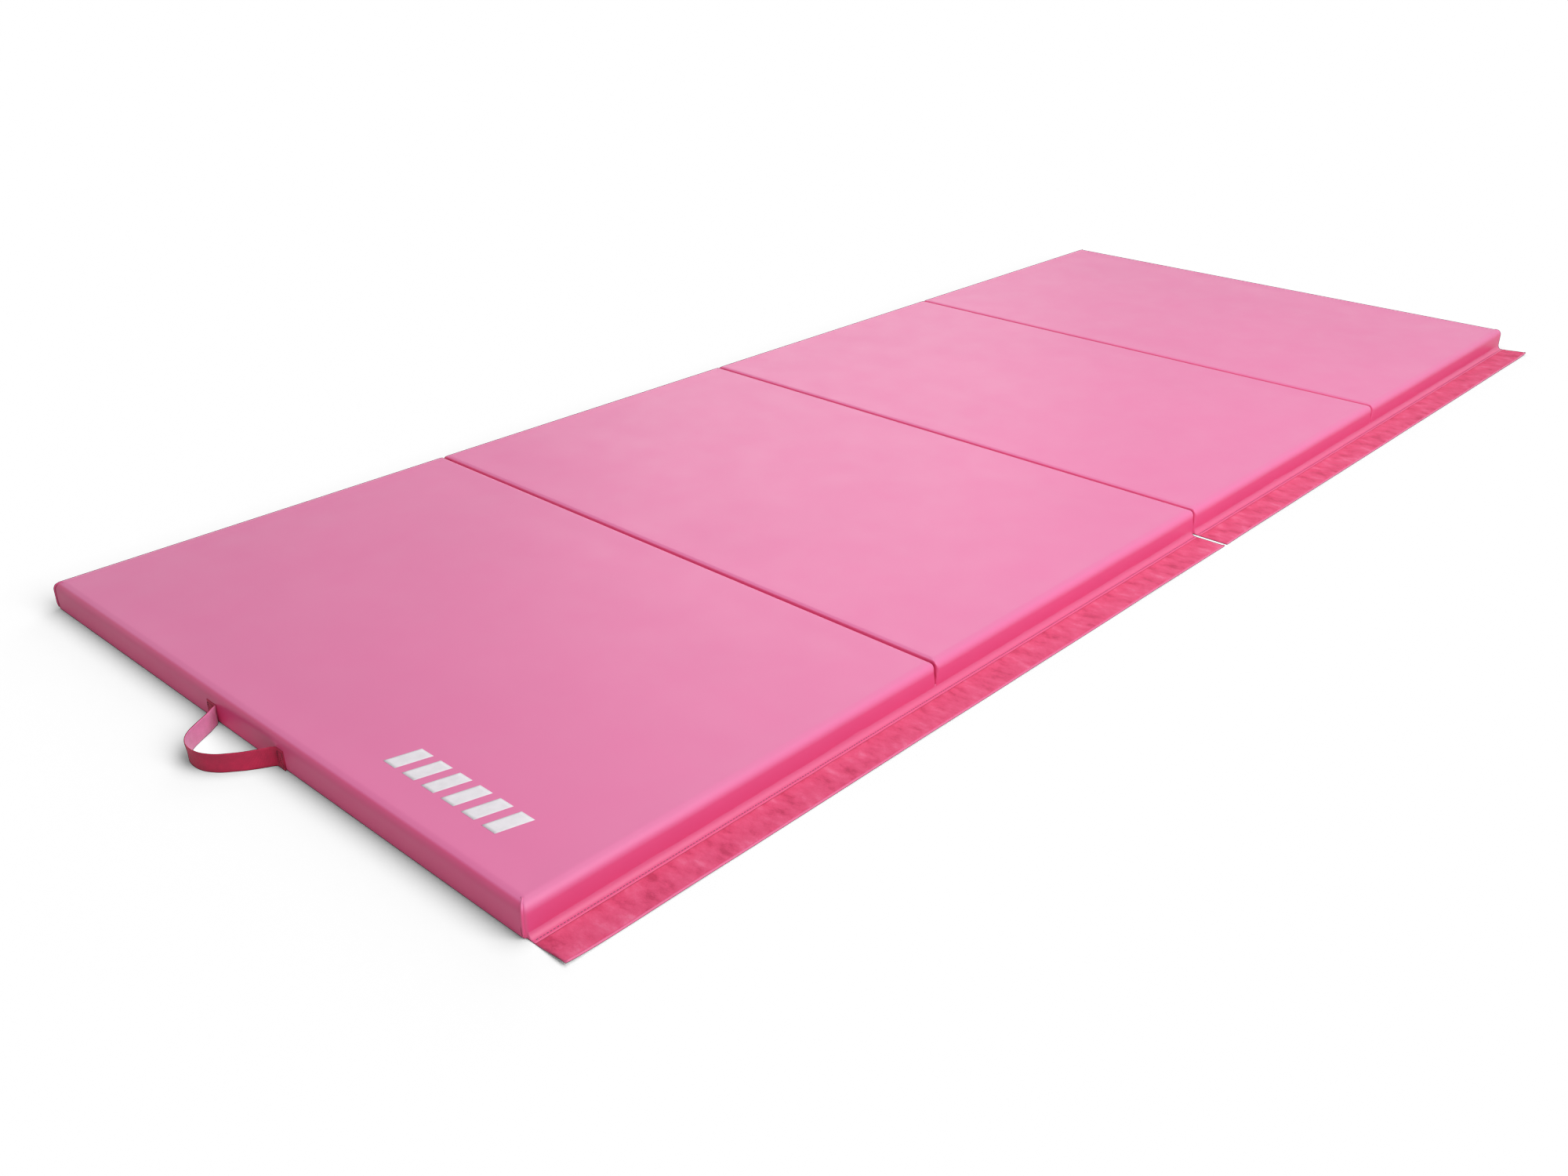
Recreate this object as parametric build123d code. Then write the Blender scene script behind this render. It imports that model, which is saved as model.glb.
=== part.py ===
"""Folding gym mat: four foam panels in zipped vinyl covers, joined by three alternating folds.

Frame: millimetres, +Z up, +X from panel 1 to panel 4, and the side with the loop-tape flap is -Y.
The origin is on the surface the mat lies on, under the middle of the whole mat with its flap.
The shapes are drawn about the panels' own middle line and moved to that origin at the end.
"""
import os

from build123d import *

# Mat
MAT_LENGTH = 3000.0
MAT_WIDTH = 1200.0
THICKNESS = 50.0
PANEL_COUNT = 4
PANEL_PITCH = MAT_LENGTH / PANEL_COUNT
HALF_LENGTH = MAT_LENGTH / 2
HALF_WIDTH = MAT_WIDTH / 2

# Panels and covers
FOLD_GAP = 4.5
COVER_SHEET = 0.8
FOAM_CLEARANCE = 0.3
OUTER_EDGE_RADIUS = 15.0
FOLD_EDGE_RADIUS = 7.0
BASE_EDGE_RADIUS = 3.0
END_CORNER_RADIUS = 12.0
FOLD_CORNER_RADIUS = 6.0
CUT_MARGIN = 20.0

# Fold strips: L-shaped halves inside each fold gap, at the side the fold hinges on
FOLD_LEVELS = ("bottom", "top", "bottom")
STRIP_SHEET = 0.8
STRIP_SPLIT = 0.25
STRIP_WALL_CLEARANCE = 0.05
STRIP_LEG = 22.0
STRIP_LENGTH = MAT_WIDTH - 40.0
TOP_STRIP_DEPTH = 6.0

# Hem: the welt along the -Y side that carries the loop-tape flap
HEM_WIDTH = 12.0
HEM_THICKNESS = 1.2
HEM_SWEEP_HEIGHT = 9.0
HEM_SWEEP_FOOT = 9.0
HEM_SWEEP_BEND = 0.3
HEM_END_INSET = 4.0
STRIP_PAIR_GAP = 10.0

# Flap: a vinyl backing with a standard 50 mm loop tape on it
FLAP_START = HALF_WIDTH + HEM_WIDTH + 1.0
FLAP_END = HALF_WIDTH + 66.0
FLAP_SHEET = 0.8
TAPE_WIDTH = 50.0
TAPE_START = FLAP_START + 0.6
LOOP_TAPE_THICKNESS = 1.6
FLAP_BINDING_HEIGHT = 1.8

# Hook tape: sewn under the +Y edge, to lie on a second mat's loop tape
HOOK_TAPE_OUTER = HALF_WIDTH - 8.0
HOOK_TAPE_INNER = HOOK_TAPE_OUTER - TAPE_WIDTH
HOOK_TAPE_END_INSET = 8.0

# Carry handles: 30 mm webbing standing on edge
WEBBING_WIDTH = 30.0
WEBBING_THICKNESS = 1.8
WEBBING_BOTTOM = 0.5
LOOP_CLEARANCE = 0.3
LOOP_FILLET = 28.0
LONG_TAB = 28.0
SHORT_TAB = 20.0
LOOP_START = WEBBING_THICKNESS + LOOP_CLEARANCE
LOOP_PIVOT_REACH = LOOP_START + WEBBING_WIDTH / 2
LOOP_PIVOT_HEIGHT = WEBBING_BOTTOM + WEBBING_WIDTH / 2
# Route of the webbing's middle line: distance out from the end wall, place along the wall
LOOP_ROUTE = ((LOOP_START, 80.0), (60.0, 50.0), (82.0, 14.0), (66.0, -30.0), (LOOP_START, -74.0))

# Zips in the +Y wall
ZIP_HEIGHT = 24.0
ZIP_LENGTH = 600.0
ZIP_TRAVEL = 560.0
ZIP_TAPE_WIDTH = 18.0
ZIP_TAPE_SHEET = 0.6
COIL_WIDTH = 4.0
COIL_DEPTH = 1.6
STOP_LENGTH = 3.0
SLIDER_LENGTH = 14.0
SLIDER_WIDTH = 11.0
SLIDER_PLATE = 1.5
SLIDER_CLEARANCE = 0.3
EAR_LENGTH = 3.0
EAR_HEIGHT = 2.0
EAR_THICKNESS = 1.1
PULL_LENGTH = 26.0
PULL_WIDTH = 8.0
PULL_THICKNESS = 1.2
PULL_PIN_RADIUS = 0.5
PIN_CLEARANCE = 0.1

# Y of the panels' middle line from the origin: half of what the flap sticks out more than the zip sliders
SLIDER_REACH = HALF_WIDTH + ZIP_TAPE_SHEET + COIL_DEPTH + SLIDER_CLEARANCE + SLIDER_PLATE + EAR_HEIGHT
MIDDLE_LINE_Y = (FLAP_END - SLIDER_REACH) / 2


def box_between(low, high):
    """A box from its low corner to its high corner."""
    size = [b - a for a, b in zip(low, high)]
    middle = [(a + b) / 2 for a, b in zip(low, high)]
    return Pos(*middle) * Box(*size)


def rounded_face(low, high, radii):
    """A rectangle with its own radius at each corner: (low low), (high low), (high high), (low high)."""
    face = Pos((low[0] + high[0]) / 2, (low[1] + high[1]) / 2) * Rectangle(high[0] - low[0], high[1] - low[1])
    corners = ((low[0], low[1]), (high[0], low[1]), (high[0], high[1]), (low[0], high[1]))
    for corner, radius in zip(corners, radii):
        if radius > 0:
            vertex = face.vertices().sort_by_distance((corner[0], corner[1], 0))[0]
            face = fillet(vertex, radius)
    return face


def panel_walls(number):
    """X of a panel's low and high walls, and whether each of them is an end of the mat."""
    low_end = number == 1
    high_end = number == PANEL_COUNT
    low = -HALF_LENGTH + (number - 1) * PANEL_PITCH
    high = low + PANEL_PITCH
    if not low_end:
        low += FOLD_GAP / 2
    if not high_end:
        high -= FOLD_GAP / 2
    return low, high, low_end, high_end


def panel_block(number, inset, bottom, base_radius):
    """A panel's rounded block, drawn in by inset: three crossed outlines with rounded corners."""
    low, high, low_end, high_end = panel_walls(number)
    low += inset
    high -= inset
    side = HALF_WIDTH - inset
    top = THICKNESS - inset
    outer = OUTER_EDGE_RADIUS - inset
    low_top = outer if low_end else FOLD_EDGE_RADIUS - inset
    high_top = outer if high_end else FOLD_EDGE_RADIUS - inset
    low_corner = (END_CORNER_RADIUS if low_end else FOLD_CORNER_RADIUS) - inset
    high_corner = (END_CORNER_RADIUS if high_end else FOLD_CORNER_RADIUS) - inset
    along = rounded_face((low, bottom), (high, top), (base_radius, base_radius, high_top, low_top))
    across = rounded_face((-side, bottom), (side, top), (base_radius, base_radius, outer, outer))
    plan = rounded_face((low, -side), (high, side), (low_corner, high_corner, high_corner, low_corner))
    block = extrude(Plane.XZ * along, amount=MAT_WIDTH, both=True)
    block &= extrude(Plane.YZ * across, amount=MAT_LENGTH, both=True)
    block &= extrude(plan, amount=2 * THICKNESS, both=True)
    return block


def base_slab():
    """Everything below the top of the base sheet."""
    reach = (MAT_LENGTH, MAT_WIDTH)
    return box_between((-reach[0], -reach[1], -CUT_MARGIN), (reach[0], reach[1], COVER_SHEET))


def cover(number):
    """The top and walls of a panel's cover, open below."""
    outside = panel_block(number, 0, 0, BASE_EDGE_RADIUS)
    inside = panel_block(number, COVER_SHEET, -CUT_MARGIN, 0)
    return outside - inside - base_slab()


def hook_tape(number):
    """The hook tape let into the underside along the +Y edge."""
    low, high, _, _ = panel_walls(number)
    low += HOOK_TAPE_END_INSET
    high -= HOOK_TAPE_END_INSET
    return box_between((low, HOOK_TAPE_INNER, 0), (high, HOOK_TAPE_OUTER, COVER_SHEET))


def base_cover(number):
    """The underside sheet that closes a panel's cover, round the hook tape."""
    sheet = panel_block(number, 0, 0, BASE_EDGE_RADIUS) & base_slab()
    return sheet - hook_tape(number)


def foam_core(number):
    """The foam slab inside a cover."""
    inset = COVER_SHEET + FOAM_CLEARANCE
    return panel_block(number, inset, inset, BASE_EDGE_RADIUS - inset)


def fold_strip(fold, side):
    """Half of a fold's strip, as an L in the gap: side -1 is on the lower-numbered panel."""
    fold_x = -HALF_LENGTH + fold * PANEL_PITCH
    wall = FOLD_GAP / 2 - STRIP_WALL_CLEARANCE
    xs = sorted((fold_x + side * STRIP_SPLIT, fold_x + side * wall))
    leg_xs = sorted((fold_x + side * (wall - STRIP_SHEET), fold_x + side * wall))
    if FOLD_LEVELS[fold - 1] == "bottom":
        lip = (0, STRIP_SHEET)
        leg = (STRIP_SHEET, STRIP_LEG)
    else:
        level = THICKNESS - TOP_STRIP_DEPTH
        lip = (level - STRIP_SHEET, level)
        leg = (level - STRIP_LEG, level - STRIP_SHEET)
    reach = STRIP_LENGTH / 2
    flat = box_between((xs[0], -reach, lip[0]), (xs[1], reach, lip[1]))
    upright = box_between((leg_xs[0], -reach, leg[0]), (leg_xs[1], reach, leg[1]))
    return flat + upright


def strip_span(number):
    """X range of a panel's share of the edge strip: whole over folds 1 and 3, split at fold 2."""
    low = -HALF_LENGTH + (number - 1) * PANEL_PITCH
    high = low + PANEL_PITCH
    low += (HEM_END_INSET, STRIP_SPLIT, STRIP_PAIR_GAP / 2, STRIP_SPLIT)[number - 1]
    high -= (STRIP_SPLIT, STRIP_PAIR_GAP / 2, STRIP_SPLIT, HEM_END_INSET)[number - 1]
    return low, high


def hem(number):
    """The welt at the foot of the -Y wall, sweeping out from the wall to a flat edge."""
    low, high = strip_span(number)
    out = HALF_WIDTH + HEM_WIDTH
    foot = HALF_WIDTH + HEM_SWEEP_FOOT
    rise = HEM_SWEEP_HEIGHT - HEM_THICKNESS
    bend = (HALF_WIDTH + HEM_SWEEP_BEND * HEM_SWEEP_FOOT, HEM_THICKNESS + HEM_SWEEP_BEND * rise)
    outline = Polyline((foot, HEM_THICKNESS), (out, HEM_THICKNESS), (out, 0), (HALF_WIDTH, 0),
                       (HALF_WIDTH, HEM_SWEEP_HEIGHT))
    sweep = ThreePointArc((HALF_WIDTH, HEM_SWEEP_HEIGHT), bend, (foot, HEM_THICKNESS))
    section = make_face(outline.edges() + sweep.edges())
    welt = Pos(low, 0, 0) * extrude(Plane.YZ * section, amount=high - low)
    welt = mirror(welt, about=Plane.XZ)
    # The panel's rounded foot keeps its own room
    return welt - panel_block(number, 0, 0, BASE_EDGE_RADIUS)


def flap(number):
    """The flap's vinyl backing, with the raised binding along its free edge."""
    low, high = strip_span(number)
    backing = box_between((low, -FLAP_END, 0), (high, -FLAP_START, FLAP_SHEET))
    binding_start = TAPE_START + TAPE_WIDTH
    return backing + box_between((low, -FLAP_END, FLAP_SHEET), (high, -binding_start, FLAP_BINDING_HEIGHT))


def loop_tape(number):
    """The loop tape sewn on the flap."""
    low, high = strip_span(number)
    end = TAPE_START + TAPE_WIDTH
    return box_between((low, -end, FLAP_SHEET), (high, -TAPE_START, FLAP_SHEET + LOOP_TAPE_THICKNESS))


def place_at_end(shape, far):
    """Put a piece drawn as (reach, along) at the -X end, or turned half round at the +X end."""
    at_low_end = Pos(-HALF_LENGTH, 0, 0) * mirror(shape, about=Plane.YZ)
    return Rot(0, 0, 180) * at_low_end if far else at_low_end


def handle_loop(far):
    """The webbing loop that swings, with round ends about the swing axis."""
    route = FilletPolyline(*LOOP_ROUTE, radius=LOOP_FILLET)
    band = trace(route, line_width=WEBBING_THICKNESS)
    webbing = Pos(0, 0, WEBBING_BOTTOM) * extrude(band, amount=WEBBING_WIDTH)
    reach = MAT_WIDTH / 2
    top = WEBBING_BOTTOM + WEBBING_WIDTH + CUT_MARGIN
    root = box_between((-CUT_MARGIN, -reach, -CUT_MARGIN), (LOOP_PIVOT_REACH, reach, top))
    drum = Cylinder(WEBBING_WIDTH / 2, MAT_WIDTH, rotation=(90, 0, 0))
    root -= Pos(LOOP_PIVOT_REACH, 0, LOOP_PIVOT_HEIGHT) * drum
    return place_at_end(webbing - root, far)


def handle_tabs(far):
    """The two webbing ends sewn flat on the end wall, turned outward."""
    high_root = LOOP_ROUTE[0][1] + WEBBING_THICKNESS / 2
    low_root = LOOP_ROUTE[-1][1] - WEBBING_THICKNESS / 2
    top = WEBBING_BOTTOM + WEBBING_WIDTH
    first = box_between((0, high_root, WEBBING_BOTTOM), (WEBBING_THICKNESS, high_root + LONG_TAB, top))
    second = box_between((0, low_root - SHORT_TAB, WEBBING_BOTTOM), (WEBBING_THICKNESS, low_root, top))
    return place_at_end(Compound([first, second]), far)


def panel_middle(number):
    """X of a panel's middle."""
    return -HALF_LENGTH + (number - 0.5) * PANEL_PITCH


def zip_tape(number):
    """The zip's tape and coil on the +Y wall, with a stop at each end."""
    middle = panel_middle(number)
    low = middle - ZIP_LENGTH / 2
    high = middle + ZIP_LENGTH / 2
    face = HALF_WIDTH + ZIP_TAPE_SHEET
    half = ZIP_TAPE_WIDTH / 2
    tape = box_between((low, HALF_WIDTH, ZIP_HEIGHT - half), (high, face, ZIP_HEIGHT + half))
    coil_low = (low, face, ZIP_HEIGHT - COIL_WIDTH / 2)
    coil = box_between(coil_low, (high, face + COIL_DEPTH, ZIP_HEIGHT + COIL_WIDTH / 2))
    pieces = tape + coil
    for start in (low, high - STOP_LENGTH):
        stop_low = (start, face, ZIP_HEIGHT - COIL_WIDTH)
        stop_high = (start + STOP_LENGTH, face + COIL_DEPTH, ZIP_HEIGHT + COIL_WIDTH)
        pieces += box_between(stop_low, stop_high)
    return pieces


def slider_x(number):
    """X of a slider's pull pivot with the zip closed."""
    return panel_middle(number) + ZIP_TRAVEL / 2


def slider_face():
    """Y of a slider's outer face."""
    return HALF_WIDTH + ZIP_TAPE_SHEET + COIL_DEPTH + SLIDER_CLEARANCE + SLIDER_PLATE


def pull_axis_y():
    """Y of a pull's pivot axis."""
    return slider_face() + SLIDER_CLEARANCE + PULL_THICKNESS / 2


def zip_slider(number):
    """The slider: a plate over the coil, a flange each side of it, and two ears for the pull."""
    x = slider_x(number)
    face = slider_face()
    flange_foot = HALF_WIDTH + ZIP_TAPE_SHEET + SLIDER_CLEARANCE
    half = SLIDER_WIDTH / 2
    inner = COIL_WIDTH / 2 + SLIDER_CLEARANCE
    low = x - SLIDER_LENGTH / 2
    high = x + SLIDER_LENGTH / 2
    body = box_between((low, face - SLIDER_PLATE, ZIP_HEIGHT - half), (high, face, ZIP_HEIGHT + half))
    for side in (-1, 1):
        zs = sorted((ZIP_HEIGHT + side * inner, ZIP_HEIGHT + side * half))
        body += box_between((low, flange_foot, zs[0]), (high, face, zs[1]))
        ear_start = PULL_WIDTH / 2 + SLIDER_CLEARANCE
        ear = sorted((ZIP_HEIGHT + side * ear_start, ZIP_HEIGHT + side * (ear_start + EAR_THICKNESS)))
        body += box_between((x - EAR_LENGTH / 2, face, ear[0]), (x + EAR_LENGTH / 2, face + EAR_HEIGHT, ear[1]))
    pin_hole = Cylinder(PULL_PIN_RADIUS + PIN_CLEARANCE, 2 * SLIDER_WIDTH)
    return body - Pos(x, pull_axis_y(), ZIP_HEIGHT) * pin_hole


def zip_pull(number):
    """The pull: a flat tab with a cross pin in the slider's ears."""
    x = slider_x(number)
    y = pull_axis_y()
    half = PULL_THICKNESS / 2
    low = (x, y - half, ZIP_HEIGHT - PULL_WIDTH / 2)
    high = (x + PULL_LENGTH, y + half, ZIP_HEIGHT + PULL_WIDTH / 2)
    pin_length = PULL_WIDTH + 2 * (SLIDER_CLEARANCE + EAR_THICKNESS)
    pin = Pos(x, y, ZIP_HEIGHT) * Cylinder(PULL_PIN_RADIUS, pin_length)
    return box_between(low, high) + pin


def all_pieces():
    """Every node's name and shape."""
    pieces = {}
    for number in range(1, PANEL_COUNT + 1):
        pieces[f"foam_core_{number}"] = foam_core(number)
        pieces[f"cover_{number}"] = cover(number)
        pieces[f"base_cover_{number}"] = base_cover(number)
        pieces[f"hook_tape_{number}"] = hook_tape(number)
        pieces[f"hem_{number}"] = hem(number)
        pieces[f"flap_{number}"] = flap(number)
        pieces[f"loop_tape_{number}"] = loop_tape(number)
        pieces[f"zip_tape_{number}"] = zip_tape(number)
        pieces[f"zip_slider_{number}"] = zip_slider(number)
        pieces[f"zip_pull_{number}"] = zip_pull(number)
    for fold in range(1, PANEL_COUNT):
        pieces[f"fold_strip_{fold}a"] = fold_strip(fold, -1)
        pieces[f"fold_strip_{fold}b"] = fold_strip(fold, 1)
    for name, far in (("near", False), ("far", True)):
        pieces[f"handle_loop_{name}"] = handle_loop(far)
        pieces[f"handle_tabs_{name}"] = handle_tabs(far)
    return pieces


os.makedirs("parts", exist_ok=True)
for node, shape in all_pieces().items():
    export_step(Pos(0, MIDDLE_LINE_Y, 0) * shape, f"parts/{node}.step")
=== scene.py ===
import math

import bpy
import numpy as np
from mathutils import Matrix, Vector, noise


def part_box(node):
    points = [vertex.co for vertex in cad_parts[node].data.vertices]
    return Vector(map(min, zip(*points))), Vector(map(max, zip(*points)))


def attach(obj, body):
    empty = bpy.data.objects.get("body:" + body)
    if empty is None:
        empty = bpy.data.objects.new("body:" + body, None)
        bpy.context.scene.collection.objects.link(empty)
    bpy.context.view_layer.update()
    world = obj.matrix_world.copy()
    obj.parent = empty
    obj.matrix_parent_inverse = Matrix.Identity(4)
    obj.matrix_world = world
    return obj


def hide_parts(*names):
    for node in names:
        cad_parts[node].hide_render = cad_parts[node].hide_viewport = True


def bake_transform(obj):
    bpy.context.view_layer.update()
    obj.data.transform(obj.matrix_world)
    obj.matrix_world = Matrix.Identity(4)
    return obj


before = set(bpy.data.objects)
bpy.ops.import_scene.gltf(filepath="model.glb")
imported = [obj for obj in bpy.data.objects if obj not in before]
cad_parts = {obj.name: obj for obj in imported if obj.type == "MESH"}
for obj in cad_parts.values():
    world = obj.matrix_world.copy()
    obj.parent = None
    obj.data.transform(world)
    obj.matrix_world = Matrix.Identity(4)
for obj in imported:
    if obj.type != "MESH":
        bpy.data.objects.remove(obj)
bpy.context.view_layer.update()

# ---------------------------------------------------------------- sizes, in metres

PANELS = (1, 2, 3, 4)
FOLDS = (1, 2, 3)
# Shapes are worked out about the panels' middle line, which lies this far from the frame's origin
MIDDLE_Y = (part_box("cover_1")[0][1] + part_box("cover_1")[1][1]) / 2


def box(node):
    """A node's low and high corners, with Y from the panels' middle line."""
    low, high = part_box(node)
    return (low[0], low[1] - MIDDLE_Y, low[2]), (high[0], high[1] - MIDDLE_Y, high[2])


THICKNESS = box("cover_1")[1][2]
HALF_WIDTH = box("cover_1")[1][1]
MAT_LOW = box("cover_1")[0][0]
MAT_HIGH = box("cover_4")[1][0]

OUTER_RADIUS = 0.015
FOLD_RADIUS = 0.008
BASE_RADIUS = 0.003
END_CORNER = 0.007
FOLD_CORNER = 0.0055
CLOSED_CORNER = 0.0025

# The base stands this far clear of the floor: the thickness of the hook tape sewn under it
BASE_CLEARANCE = 0.0006
# Between these heights the cover's colour goes from its painted wall shade to its top colour
PAINTED_SHADE_HEIGHTS = (0.0330, 0.0474)
# Between these slopes along the mat the top colour goes back to the painted wall shade, so the ends and the
# fold walls get painted shade too
PAINTED_END_SHADE_SLOPES = (0.30, 0.72)

STITCH_LENGTH = 0.0032
STITCH_PITCH = 0.0050
THREAD_RADIUS = 0.00042
THREAD_SIDES = 6
# How far the hem's stitches are from the wall
STITCH_LINE = 0.0084


# ---------------------------------------------------------------- small helpers

def smoothstep(low, high, value):
    """0 below low, 1 above high, and smooth between them."""
    t = np.clip((np.asarray(value, float) - low) / (high - low), 0.0, 1.0)
    return t * t * (3 - 2 * t)


def waves(x, y, scale, seed):
    """Smooth noise from -1 to 1 at each (x, y)."""
    return np.array([noise.noise(Vector((a / scale, b / scale, seed))) for a, b in zip(x, y)])


def make_object(name, points, faces, material):
    """A smooth-shaded mesh object from points and faces."""
    mesh = bpy.data.meshes.new(name)
    mesh.from_pydata([(p[0], p[1] + MIDDLE_Y, p[2]) for p in points], [], [tuple(f) for f in faces])
    mesh.update()
    mesh.validate()
    mesh.polygons.foreach_set("use_smooth", [True] * len(mesh.polygons))
    mesh.materials.append(material)
    obj = bpy.data.objects.new(name, mesh)
    bpy.context.scene.collection.objects.link(obj)
    return obj


def lattice_faces(rows, columns, close_rows=False, close_columns=False, start=0):
    """Quads over a rows x columns lattice of points, which may close on itself either way."""
    faces = []
    for i in range(rows if close_rows else rows - 1):
        for j in range(columns if close_columns else columns - 1):
            i2 = (i + 1) % rows
            j2 = (j + 1) % columns
            faces.append((start + i * columns + j, start + i * columns + j2,
                          start + i2 * columns + j2, start + i2 * columns + j))
    return faces


def swept_band(name, sections, material):
    """A closed solid from a list of equal rings of points, capped at both ends."""
    count = len(sections[0])
    points = [p for ring in sections for p in ring]
    faces = lattice_faces(len(sections), count, close_columns=True)
    faces.append(tuple(reversed(range(count))))
    last = (len(sections) - 1) * count
    faces.append(tuple(range(last, last + count)))
    return make_object(name, points, faces, material)


def capsules(name, places, length, radius, material):
    """Many short round-ended threads in one object: each place is (middle, direction, up)."""
    profile = ((-0.5, 0.0), (-0.46, 0.55), (-0.3, 1.0), (0.3, 1.0), (0.46, 0.55), (0.5, 0.0))
    points = []
    faces = []
    for middle, along, up in places:
        along = Vector(along).normalized()
        across = along.cross(Vector(up)).normalized()
        up = across.cross(along)
        first = len(points)
        points.append(Vector(middle) + along * length * profile[0][0])
        for step, share in profile[1:-1]:
            for k in range(THREAD_SIDES):
                turn = 2 * math.pi * k / THREAD_SIDES
                ring = across * math.cos(turn) + up * math.sin(turn)
                points.append(Vector(middle) + along * length * step + ring * radius * share)
        points.append(Vector(middle) + along * length * profile[-1][0])
        end = len(points) - 1
        rings = len(profile) - 2
        for k in range(THREAD_SIDES):
            k2 = (k + 1) % THREAD_SIDES
            faces.append((first, first + 1 + k2, first + 1 + k))
            for r in range(rings - 1):
                a = first + 1 + r * THREAD_SIDES
                faces.append((a + k, a + k2, a + THREAD_SIDES + k2, a + THREAD_SIDES + k))
            a = first + 1 + (rings - 1) * THREAD_SIDES
            faces.append((a + k, a + k2, end))
    return make_object(name, points, faces, material)


def fold_place(fold):
    """X of a fold."""
    return MAT_LOW + fold * (MAT_HIGH - MAT_LOW) / len(PANELS)


def blend_over_fold(obj):
    """Bakes the placement of a piece that crosses a fold into its mesh."""
    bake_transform(obj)


# ---------------------------------------------------------------- materials

def node_material(name):
    """A new node material: returns it, its node tree and its shader."""
    material = bpy.data.materials.new(name)
    material.use_nodes = True
    tree = material.node_tree
    shader = next(n for n in tree.nodes if n.type == "BSDF_PRINCIPLED")
    return material, tree, shader


def add_node(tree, kind, inputs=(), **settings):
    """A node with its settings and unlinked input values."""
    node = tree.nodes.new(kind)
    for key, value in settings.items():
        setattr(node, key, value)
    for key, value in dict(inputs).items():
        node.inputs[key].default_value = value
    return node


def place_coordinates(tree, scale=(1, 1, 1), rotation=(0, 0, 0)):
    """Object coordinates, scaled and turned."""
    source = add_node(tree, "ShaderNodeTexCoord")
    mapping = add_node(tree, "ShaderNodeMapping", {"Scale": scale, "Rotation": rotation})
    tree.links.new(source.outputs["Object"], mapping.inputs["Vector"])
    return mapping.outputs["Vector"]


def noise_value(tree, vector, scale, detail=3.0, roughness=0.5):
    """The grey value of a noise texture."""
    node = add_node(tree, "ShaderNodeTexNoise", {"Scale": scale, "Detail": detail, "Roughness": roughness})
    tree.links.new(vector, node.inputs["Vector"])
    return node.outputs["Fac"]


def ramp(tree, value, stops):
    """A colour ramp over value: stops are (position, (r, g, b))."""
    node = add_node(tree, "ShaderNodeValToRGB")
    elements = node.color_ramp.elements
    while len(elements) < len(stops):
        elements.new(0.5)
    for element, (position, colour) in zip(elements, stops):
        element.position = position
        element.color = (*colour, 1.0)
    tree.links.new(value, node.inputs["Fac"])
    return node.outputs["Color"]


def spread(tree, value, low, high, from_low=0.3, from_high=0.7):
    """value, moved from its usual range to low..high."""
    node = add_node(tree, "ShaderNodeMapRange", {"From Min": from_low, "From Max": from_high,
                                                 "To Min": low, "To Max": high})
    tree.links.new(value, node.inputs["Value"])
    return node.outputs["Result"]


def bump(tree, shader, heights):
    """A chain of bumps into the shader: heights are (value, distance, strength)."""
    normal = None
    for value, distance, strength in heights:
        node = add_node(tree, "ShaderNodeBump", {"Distance": distance, "Strength": strength})
        tree.links.new(value, node.inputs["Height"])
        if normal is not None:
            tree.links.new(normal, node.inputs["Normal"])
        normal = node.outputs["Normal"]
    tree.links.new(normal, shader.inputs["Normal"])


def scaled(colour, factor):
    """A colour made lighter or darker."""
    return tuple(min(1.0, c * factor) for c in colour)


def height_share(tree, low, high):
    """0 below the height low and 1 above the height high, smooth between them."""
    source = add_node(tree, "ShaderNodeTexCoord")
    parts = add_node(tree, "ShaderNodeSeparateXYZ")
    tree.links.new(source.outputs["Object"], parts.inputs["Vector"])
    share = add_node(tree, "ShaderNodeMapRange", {"From Min": low, "From Max": high},
                     interpolation_type="SMOOTHSTEP")
    tree.links.new(parts.outputs["Z"], share.inputs["Value"])
    return share.outputs["Result"]


def end_share(tree, low, high):
    """1 where the surface faces up or to a long side, falling to 0 where it faces along the mat."""
    source = add_node(tree, "ShaderNodeTexCoord")
    parts = add_node(tree, "ShaderNodeSeparateXYZ")
    tree.links.new(source.outputs["Normal"], parts.inputs["Vector"])
    size = add_node(tree, "ShaderNodeMath", operation="ABSOLUTE")
    tree.links.new(parts.outputs["X"], size.inputs[0])
    share = add_node(tree, "ShaderNodeMapRange",
                     {"From Min": low, "From Max": high, "To Min": 1.0, "To Max": 0.0},
                     interpolation_type="SMOOTHSTEP")
    tree.links.new(size.outputs["Value"], share.inputs["Value"])
    return share.outputs["Result"]


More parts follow.
